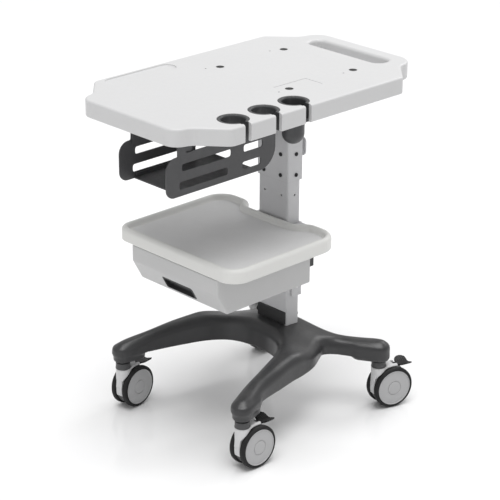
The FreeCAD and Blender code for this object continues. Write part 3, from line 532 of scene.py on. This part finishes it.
def surface_net(field, low, high, step):
    """Smooth quad mesh of the surface where the field crosses zero."""
    axes = [np.arange(a, b + step, step) for a, b in zip(low, high)]
    grid = np.stack(np.meshgrid(*axes, indexing="ij"), -1)
    shape = grid.shape[:3]
    flat = grid.reshape(-1, 3)
    block = 200000
    value = np.concatenate([field(flat[i:i + block]) for i in range(0, len(flat), block)]).reshape(shape)
    cells = tuple(s - 1 for s in shape)
    total, hits = np.zeros(cells + (3,)), np.zeros(cells)
    crossings = []
    for point, ring, inside_first in grid_crossings(value, grid, step):
        for cell in ring:
            np.add.at(total, cell, point)
            np.add.at(hits, cell, 1.0)
        crossings.append((ring, inside_first))
    used = hits > 0
    number = -np.ones(cells, int)
    number[used] = np.arange(used.sum())
    verts = total[used] / hits[used][:, None]
    faces = []
    for ring, inside_first in crossings:
        quad = np.column_stack([number[cell] for cell in ring])
        quad[~inside_first] = quad[~inside_first][:, ::-1]
        faces.append(quad)
    # pull the vertices on to the surface along the field's slope
    probe = 0.05
    for _ in range(4):
        here = field(verts)
        rises = [field(verts + d) - field(verts - d) for d in np.eye(3) * probe]
        slope = np.column_stack(rises) / (2 * probe)
        size = np.maximum((slope ** 2).sum(1), 0.2)
        verts = verts - slope * (np.clip(here, -step, step) / size)[:, None] * 0.8
    return verts, np.vstack(faces).tolist()


# ---------------------------------------------------------------- base casting
COLUMN_Y = 67.0
CASTER_X, FRONT_Y, REAR_Y = 201.2, -219.6, 219.2
LEG_UNDER, BOSS_UNDER, BOSS_TOP, END_R = 142.2, 123.5, 156.0, 23.0
# the top face: its height at the column, how far it falls, and over what reach to the front and rear
CROWN_TOP, CROWN_DROP, FRONT_FALL, REAR_FALL = 204.5, 33.6, 348.0, 116.0
CROWN_BLEND_YS = (-34.0, 104.0)
RIM_R = 22.0
# the underside of the rear legs runs down toward their ends
REAR_DROP, REAR_DROP_YS = 16.0, (100.0, 210.0)
WALL, POCKET_DEPTH, RIB_HALF, BOSS_WALL_R = 10.0, 12.0, 2.5, 27.0
SOCKET_Y, SOCKET_HALF_X, SOCKET_HALF_Y = COLUMN_Y + 20.0, 58.0, 32.0
# caster bosses: the middle of each, and how far the pad round it stretches back along its leg
BOSSES = [(side * CASTER_X, y, -side * inward, back)
          for side in (-1, 1) for y, inward, back in ((FRONT_Y, 8, 32), (REAR_Y, 34, -23))]


def leg_end(y, lean):
    """Half circle of points round the end of a right leg, turned by the way the leg leans."""
    turns = [math.radians(lean + t) for t in (-90, -45, 0, 45, 90)]
    return [(CASTER_X + END_R * math.cos(t), y + END_R * math.sin(t)) for t in turns]


def base_loop():
    """Plan outline of the four-legged casting, its right half from front to back and then mirrored."""
    right = [(37, 22), (73, 10), (98, -12), (118, -44), (132, -80), (146, -121)] + leg_end(FRONT_Y, -73)
    right += [(200, -152), (187, -84), (177, -36), (172, 1), (159, 48), (137, 88), (126, 111), (136, 139)]
    right += leg_end(REAR_Y, 34) + [(148, 210), (97, 175), (47, 152)]
    return spline_loop([(0, 24)] + right + [(0, 146)] + [(-x, y) for x, y in reversed(right)], 10)


def crown(x, y):
    """Height of the top face: it falls slowly along the front legs and sooner behind the column."""
    reach = np.hypot(x, y - COLUMN_Y)
    blend = ramp(y, *CROWN_BLEND_YS)
    blend = blend * blend * (3 - 2 * blend)
    rear = 1 - np.exp(-(reach / REAR_FALL) ** 3)
    return CROWN_TOP - CROWN_DROP * ((reach / FRONT_FALL) ** 3 * (1 - blend) + rear * blend)


def pockets(edge, x, y, z):
    """Hollows under the casting, split by a rib along each leg and by the block round the socket."""
    pocket = np.maximum(edge + WALL, z - LEG_UNDER - POCKET_DEPTH)
    for cx, cy, _, _ in BOSSES:
        root_x = cx * 0.22
        dx, dy = cx - root_x, cy - SOCKET_Y
        rib = np.abs((x - root_x) * dy - (y - SOCKET_Y) * dx) / math.hypot(dx, dy) - RIB_HALF
        pocket = np.maximum(np.maximum(pocket, -rib), BOSS_WALL_R - np.hypot(x - cx, y - cy))
    block = np.maximum(np.abs(x) - SOCKET_HALF_X, np.abs(y - SOCKET_Y) - SOCKET_HALF_Y)
    return np.maximum(pocket, -block)


def base_casting():
    plan = PlanField(base_loop(), (-245, -270), (245, 260))

    def field(p):
        x, y, z = p.T
        edge = plan(x, y)
        under = LEG_UNDER - REAR_DROP * ramp(y, *REAR_DROP_YS)
        body = rounded_both(rounded_both(edge, z - crown(x, y), RIM_R), under - z, 3.5)
        body = smooth_max(body, -pockets(edge, x, y, z), 2.0)
        for cx, cy, dx, dy in BOSSES:
            t = np.clip(((x - cx) * dx + (y - cy) * dy) / (dx * dx + dy * dy), 0, 1)
            pad = np.hypot(x - cx - t * dx, y - cy - t * dy) - (END_R - 1.0)
            pad = rounded_both(rounded_both(pad, BOSS_UNDER - z, 4.5), z - BOSS_TOP, 3)
            body = smooth_min(body, pad, 12.0)
        return body

    verts, faces = surface_net(field, (-236, -262, 118), (236, 252, 212), 2.4)
    piece("base_cast_body", verts, faces, "base_paint", "trolley", ["base_casting"], sharp=60)


# ---------------------------------------------------------------- casters
TRAIL, AXLE_Z = 31.1, 50.0
WHEEL_R, WHEEL_IN, WHEEL_OUT = 50.0, 9.4, 23.5
GUARD_FOOT = 36.0
CASTERS = {"front_left": (-CASTER_X, FRONT_Y, 7.5), "front_right": (CASTER_X, FRONT_Y, -1.0),
           "rear_left": (-CASTER_X, REAR_Y, 16.0), "rear_right": (CASTER_X, REAR_Y, -16.0)}


def housing_shape():
    """Web between the wheels with its swivel head and hood, cut clear of the wheels and the pedal."""
    def field(p):
        web = rod(p, 0, (TRAIL, AXLE_Z), 47.5, -8.7, 8.7, 1.5)
        head = rod(p, 2, (0, 0), 17.0, 58, 103.8, 1.5)
        hood = brick(p, (-14.2, -6, 80), (14.2, 46, 106), 4.5)
        body = smooth_min(smooth_min(web, head, 5.0), hood, 4.0)
        for side in (-1, 1):
            low, high = sorted((side * 8.9, side * 60))
            body = smooth_max(body, -rod(p, 0, (TRAIL, AXLE_Z), WHEEL_R + 1.4, low, high), 0.8)
        body = rounded_both(body, GUARD_FOOT + 0.3 - p[:, 2], 0.8)
        body = smooth_max(body, -brick(p, (-8.1, 35.5, 90.4), (8.1, 90, 130), 1.0), 0.6)
        return np.maximum(body, -rod(p, 2, (0, 0), 18.2, 103.85, 130))

    return surface_net(field, (-20, -21, 33), (20, 82, 109), 1.1)


def guard_shape():
    """Black lower part of the web."""
    def field(p):
        disc = rod(p, 0, (TRAIL, AXLE_Z), 45.5, -8.6, 8.6, 1.2)
        return rounded_both(disc, p[:, 2] - (GUARD_FOOT - 0.2), 1.0)

    return surface_net(field, (-11, -17, 1), (11, 80, 39), 1.3)


def pedal_shape():
    """Brake lever: two raised ribbed lobes with a saddle between them, on an arm from its pivot."""
    def field(p):
        x, y, z = p.T
        lobe_right, lobe_left = (np.hypot((x - cx) / 10.5, (y - 67) / 15.5) - 1 for cx in (12.5, -12.5))
        lobes = smooth_min(lobe_right, lobe_left, 0.25) * 10.5
        middle = brick(np.column_stack([x, y, z * 0]), (-12, 50, -9), (12, 81, 9), 5)
        saddle = 98.2 + 7.6 * (np.abs(x) / 22) ** 1.8 + 0.02 * (y - 60)
        grip = 0.35 * np.clip(np.cos(y * 2 * math.pi / 5.0) * 2, -1, 1) * (np.abs(x) > 6)
        sheet = np.maximum(z - saddle - 1.8 - grip, saddle - z - 1.9)
        body = rounded_both(smooth_min(lobes, middle, 4), sheet, 1.6)
        arm = brick(p, (-7.2, 39, 95.6), (7.2, 58, 99.8), 1.2)
        boss = rod(p, 0, (42, 97), 3.4, -7.2, 7.2, 0.4)
        return smooth_min(smooth_min(body, arm, 2.5), boss, 1.0)

    return surface_net(field, (-25, 36, 91), (25, 85, 110), 0.9)


def tyre_shape():
    """Tread with rounded shoulders, from the inner face of the wheel to the outer one."""
    profile = [(WHEEL_IN, 42.2), (WHEEL_IN, 46.2), (12.4, WHEEL_R), (20.6, WHEEL_R), (WHEEL_OUT, 47.0),
               (23.7, 44.4), (23.1, 43.9), (23.1, 42.2)]
    return revolved(rounded(profile, [0, 2.5, 3.5, 3.5, 2.0, 0.4, 0.3, 0], 7), 128, closed=True)


def hub_shape():
    """Wheel disc with a centre cap, a dished face and a rim bead outside, and a recess inside."""
    profile = [(24.35, 0), (24.3, 15.4), (22.9, 15.9), (22.6, 16.7), (23.1, 17.5), (24.0, 18.0),
               (23.5, 30.0), (22.9, 38.6), (22.6, 39.8), (23.9, 40.6), (24.3, 41.4), (23.9, 42.1),
               (22.6, 42.2), (9.6, 42.2), (WHEEL_IN, 41.5), (WHEEL_IN, 30.0), (11.6, 28.5), (11.6, 12.0),
               (WHEEL_IN, 10.5), (WHEEL_IN, 4.1), (21, 4.1), (21, 0)]
    radii = [0, 0.3, 0.1, 0.2, 0.1, 0.3,
             0, 1.0, 0.6, 0.5, 0.5, 0.4,
             0.1, 0.2, 0.3, 0.8, 1.5, 1.5,
             0.8, 0.2, 0, 0]
    return revolved(rounded(profile, radii, 4), 128)


def placed(shape, x, y, yaw, mirror=False, lift=(0, 0, 0)):
    """A caster's part, built round the swivel axis, put at a corner and turned about that axis."""
    verts, faces = shape
    verts = verts + np.array(lift)
    if mirror:
        verts = verts * np.array((-1, 1, 1))
        faces = [tuple(reversed(f)) for f in faces]
    turn = np.array(Matrix.Rotation(math.radians(yaw), 3, "Z"))
    return verts @ turn.T + np.array((x, y, 0)), faces


def casters():
    housing, guard, pedal = housing_shape(), guard_shape(), pedal_shape()
    tyre, hub = tyre_shape(), hub_shape()
    for corner, spot in CASTERS.items():
        tag = "caster_" + corner
        brake = "brake_" + corner
        fork, web_guard, lever = (placed(shape, *spot) for shape in (housing, guard, pedal))
        piece(tag + "_fork", *fork, "caster_plastic", tag, [tag + "_housing"], sharp=50)
        piece(tag + "_web_guard", *web_guard, "black_plastic", tag, [tag + "_guard"], sharp=50)
        piece(tag + "_brake_lever", *lever, "pedal_plastic", brake, [tag + "_pedal"], sharp=60)
        for side, mirror in (("left", True), ("right", False)):
            body = f"wheel_{corner}_{side}"
            tread = placed(tyre, *spot, mirror, (0, TRAIL, AXLE_Z))
            cap = placed(hub, *spot, mirror, (0, TRAIL, AXLE_Z))
            piece(f"{tag}_tread_{side}", *tread, "tyre", body, [f"{tag}_tyre_{side}"])
            piece(f"{tag}_cap_{side}", *cap, "hub_plastic", body, [f"{tag}_hub_{side}"])


def collars_and_stems():
    """Grooved bearing collars over the casters and the steel stems that pass through them."""
    collar_line = [(104.2, 6.1), (104.2, 17.5), (106.6, 17.5), (107.2, 16.8), (119.6, 16.8), (119.6, 6.1)]
    collar = revolved(rounded(collar_line, [0, 0.8, 0.5, 0.3, 1.2, 0], 5), 72, closed=True)
    stem_line = [(96.5, 0), (96.5, 5.9), (119.7, 5.9), (119.7, 11.0), (123.4, 11.0), (123.4, 0)]
    stem = revolved(rounded(stem_line, [0, 0.6, 0, 0.4, 0.3, 0], 4), 72)
    spots = [(x, y) for x, y, _ in CASTERS.values()]
    collars = joined([upright(collar, x, y) for x, y in spots])
    stems = joined([upright(stem, x, y) for x, y in spots])
    piece("caster_bearing_caps", *collars, "collar_plastic", "trolley", ["caster_collars"])
    piece("caster_stem_shoulders", *stems, "zinc_steel", "trolley", ["caster_stems"])


# ---------------------------------------------------------------- tray
TRAY_TOP, TRAY_FLOOR, TRAY_UNDER = 470.0, 457.0, 437.0
TRAY_HALF, TRAY_FRONT, TRAY_REAR = 193.2, -238.2, 90.6
TRAY_OUTLINE = [(TRAY_HALF, TRAY_FRONT, 43), (TRAY_HALF, TRAY_REAR, 52), (99.8, TRAY_REAR, 33),
                (79.6, 61.5, 33), (-79.6, 61.5, 33), (-99.8, TRAY_REAR, 33), (-TRAY_HALF, TRAY_REAR, 52),
                (-TRAY_HALF, TRAY_FRONT, 33)]
TRAY_PLAN = PlanField(rounded_loop(TRAY_OUTLINE), (-200, -246), (200, 98))


def tray_field(p):
    """Thin moulding: a rolled rim, walls that slope in to a flat floor, and a hollow underside."""
    edge, z = TRAY_PLAN(p[:, 0], p[:, 1]), p[:, 2]
    body = rounded_both(rounded_both(edge, z - TRAY_TOP, 10.5), TRAY_UNDER - z, 3.5)
    basin = rounded_both(edge + 14.0 + 0.32 * (TRAY_TOP - z), TRAY_FLOOR - z, 6.0)
    body = smooth_max(body, -basin, 7.0)
    under = rounded_both(edge + 18.0, z - (TRAY_FLOOR - 5.0), 3.0)
    return smooth_max(body, -under, 1.5)


def tray_mat_field(p):
    """Thin mat on the tray's floor."""
    edge, z = TRAY_PLAN(p[:, 0], p[:, 1]), p[:, 2]
    slab = np.maximum(z - TRAY_FLOOR - 1.2, TRAY_FLOOR - 2.0 - z)
    return rounded_both(edge + 20.5, slab, 0.8)


def tray():
    verts, faces = surface_net(tray_field, (-197, -242, 433), (197, 95, 474), 1.9)
    piece("tray_moulding", verts, faces, "tray_plastic", "trolley", ["tray"], sharp=60)
    verts, faces = surface_net(tray_mat_field, (-176, -221, 453), (176, 74, 461), 2.2)
    piece("tray_liner", verts, faces, "tray_mat", "trolley", ["tray_mat"], sharp=60)


# ---------------------------------------------------------------- drawer
DRAWER_HALF, DRAWER_WALL = 140.3, 3.3
DRAWER_FRONT, DRAWER_BACK, DRAWER_UNDER, DRAWER_TOP = -236.0, 48.5, 348.5, 436.6
SLOPE_Z, SLOPE_FOOT_Y = 399.4, -207.7
# the hollow's upright front and rear faces, the level they start at, and the rim behind the front panel
HOLLOW_FRONT, HOLLOW_BACK, HOLLOW_UPRIGHT_Z = -232.4, 45.2, 405.0
RIM_Z, FRONT_PANEL_REAR = 433.9, -226.0
DRAWER_SIDE = [(DRAWER_FRONT, SLOPE_Z, 5), (SLOPE_FOOT_Y, DRAWER_UNDER, 6),
               (DRAWER_BACK, DRAWER_UNDER, 3.5), (DRAWER_BACK, DRAWER_TOP, 1.5),
               (DRAWER_FRONT, DRAWER_TOP, 2)]
DRAWER_PLAN = PlanField(rounded_loop(DRAWER_SIDE), (-242, 342), (56, 442))
SLOPE_TOP = np.array((0, DRAWER_FRONT, SLOPE_Z))
SLOPE_FOOT = np.array((0, SLOPE_FOOT_Y, DRAWER_UNDER))
DOWNHILL = (SLOPE_FOOT - SLOPE_TOP) / np.linalg.norm(SLOPE_FOOT - SLOPE_TOP)
OUTWARD = np.array((0, DOWNHILL[2], -DOWNHILL[1]))
HANDLE_SPOT = SLOPE_TOP + (SLOPE_FOOT - SLOPE_TOP) * 0.56


def on_slope(p):
    """Coordinates across, down and out of the sloped front, from the middle of the handle."""
    q = p - HANDLE_SPOT
    return np.column_stack([q[:, 0], q @ DOWNHILL, q @ OUTWARD])


def drawer_field(p):
    """Open-topped box with soft outer edges, runner flanges and a cut for the handle cup."""
    x, y, z = np.abs(p[:, 0]), p[:, 1], p[:, 2]
    side = DRAWER_PLAN(y, z)
    outer = rounded_both(side, x - DRAWER_HALF, 3.0)
    outer = np.maximum(outer, np.where(y > FRONT_PANEL_REAR, z - RIM_Z, -9.0))
    upright_wall = np.maximum(HOLLOW_FRONT - y, y - HOLLOW_BACK)
    wall = np.where(z > HOLLOW_UPRIGHT_Z, upright_wall, side + DRAWER_WALL)
    inner = rounded_both(wall, x - DRAWER_HALF + DRAWER_WALL, 4.0)
    handle_cut = brick(on_slope(p), (-49.2, -17.6, -16), (49.2, 17.6, 10), 6.0)
    walls = np.maximum(np.maximum(outer, -inner), -handle_cut)
    flange = brick(np.column_stack([x, y, z]), (138, -215, 430.1), (148.1, 48.3, 432.9), 0.5)
    return np.minimum(walls, flange)


def handle_field(p):
    """Cup with a thin frame over the cut's edge, a deep hollow and a lip to pull on at its top."""
    q = on_slope(p)
    frame_plate = brick(q, (-50.8, -19.3, -15.6), (50.8, 19.3, 1.15), 5.5)
    cup = brick(q, (-49, -17.4, -15.6), (49, 17.4, 5), 5.5)
    body = np.maximum(frame_plate, np.minimum(cup, -0.05 - q[:, 2]))
    hollow = brick(q, (-45.5, -10.5, -13.2), (45.5, 14.2, 12), 6.0)
    lip = brick(q, (-45.5, -14.2, -3.0), (45.5, -9.0, 12), 2.0)
    return smooth_max(smooth_max(body, -hollow, 1.2), -lip, 1.0)


def drawer():
    verts, faces = surface_net(drawer_field, (-151, -240, 345), (151, 52, 439), 1.9)
    piece("drawer_shell", verts, faces, "drawer_plastic", "drawer", ["drawer_front", "drawer_body"],
          sharp=50)
    verts, faces = surface_net(handle_field, (-53, -241, 345), (53, -195, 398), 1.1)
    piece("drawer_pull", verts, faces, "handle_plastic", "drawer", ["drawer_handle"], sharp=50)


# ---------------------------------------------------------------- table inserts: dark pieces as painted shade in the holes
TABLE_TOP, TABLE_UNDER = 806.5, 767.0
RECESS_X, RECESS_YS = 109.2, (5.4, 205.0)
# how far each pilot hole lies from its recess
PILOT_STEPS = {-RECESS_X: (-12, -33), RECESS_X: (2, -33)}


def table_hole_shade_inserts():
    """Black liners in the four device recesses and domed plugs in the pilot holes beside them: dark pieces
    that paint the shade inside these holes.
    """
    liner_line = [(-3.9, 3.4), (-3.9, 9.3), (-0.5, 9.3), (-0.5, 8.5), (-3.1, 8.0), (-3.1, 3.4)]
    liner = revolved(rounded(liner_line, [0, 0.2, 0.2, 0.3, 0.5, 0.2], 4), 64, closed=True)
    plug = revolved(rounded([(-4.5, 0), (-4.5, 2.1), (-1.6, 2.1), (-0.9, 0)], [0, 0.2, 0.4, 0], 4), 32)
    spots = [(x, y) for x in (-RECESS_X, RECESS_X) for y in RECESS_YS]
    parts = [upright(liner, x, y) for x, y in spots]
    parts += [upright(plug, x + PILOT_STEPS[x][0], y + PILOT_STEPS[x][1]) for x, y in spots]
    verts, faces = joined(parts)
    piece("device_recess_shade_liners", verts + np.array((0, 0, TABLE_TOP)), faces, "runner_steel", "trolley")


# ---------------------------------------------------------------- probe cups
CUP_X = 174.5
CUP_YS = {"front": -221.9, "middle": -134.3, "rear": -46.7}
CUP_COVERS = {"front": ["cup_liners"], "middle": [], "rear": ["cup_holder_deep"]}
TUBE_R, FLANGE_R, CUP_BORE_R = 28.5, 34.3, 26.0
POT_Z, POT_R, POT_BORE_R, POT_TOP = 735.5, 24.4, 21.9, 771.5


def cup_field(deep):
    """Lipped sleeve through the table, slit on its outer side; the deep one has a round pot below."""
    def field(p):
        x, y, z = p.T
        reach = np.hypot(x, y)
        tube = rounded_both(reach - TUBE_R, np.abs(z - (TABLE_TOP + TABLE_UNDER) / 2) - 19.7, 0.5)
        flange = rounded_both(reach - FLANGE_R, np.maximum(z - TABLE_TOP + 0.02, TABLE_TOP - 1.6 - z), 0.7)
        lips = brick(p, (18, -11.0, TABLE_UNDER), (37.4, 11.0, TABLE_TOP - 0.3), 0.8)
        body = np.minimum(np.minimum(tube, flange), lips)
        bore = reach - (CUP_BORE_R + 2.2 * np.clip((z - TABLE_TOP + 4.0) / 4.0, 0, 1) ** 2)
        if deep:
            ball = np.where(z < POT_Z, np.sqrt(x * x + y * y + (z - POT_Z) ** 2), reach)
            pot = np.maximum(ball - POT_R, z - POT_TOP)
            collar = np.maximum(reach - TUBE_R, np.abs(z - 769.3) - 2.2)
            body = np.minimum(body, smooth_min(pot, collar, 1.5))
            pot_bore = ball - POT_BORE_R
            bore = np.minimum(np.where(z > POT_TOP + 0.1, bore, pot_bore), np.maximum(pot_bore, 760 - z))
        body = smooth_max(body, -bore, 0.6)
        slit_foot = 773.0 if deep else 700.0
        slit = np.maximum(np.abs(y) - 8.5, np.maximum(-x, slit_foot - z))
        return smooth_max(body, -slit, 0.8)

    return field


def cups():
    sleeve = surface_net(cup_field(False), (-37, -37, 764), (40, 37, 809), 1.15)
    pot = surface_net(cup_field(True), (-37, -37, 708), (40, 37, 809), 1.15)
    for place, y in CUP_YS.items():
        verts, faces = pot if place == "rear" else sleeve
        verts = verts + np.array((CUP_X, y, 0))
        piece(f"cup_{place}_liner", verts, faces, "cup_plastic", "trolley", CUP_COVERS[place], sharp=50)


base_casting()
casters()
collars_and_stems()
tray()
drawer()
table_hole_shade_inserts()
cups()
studio()
camera()
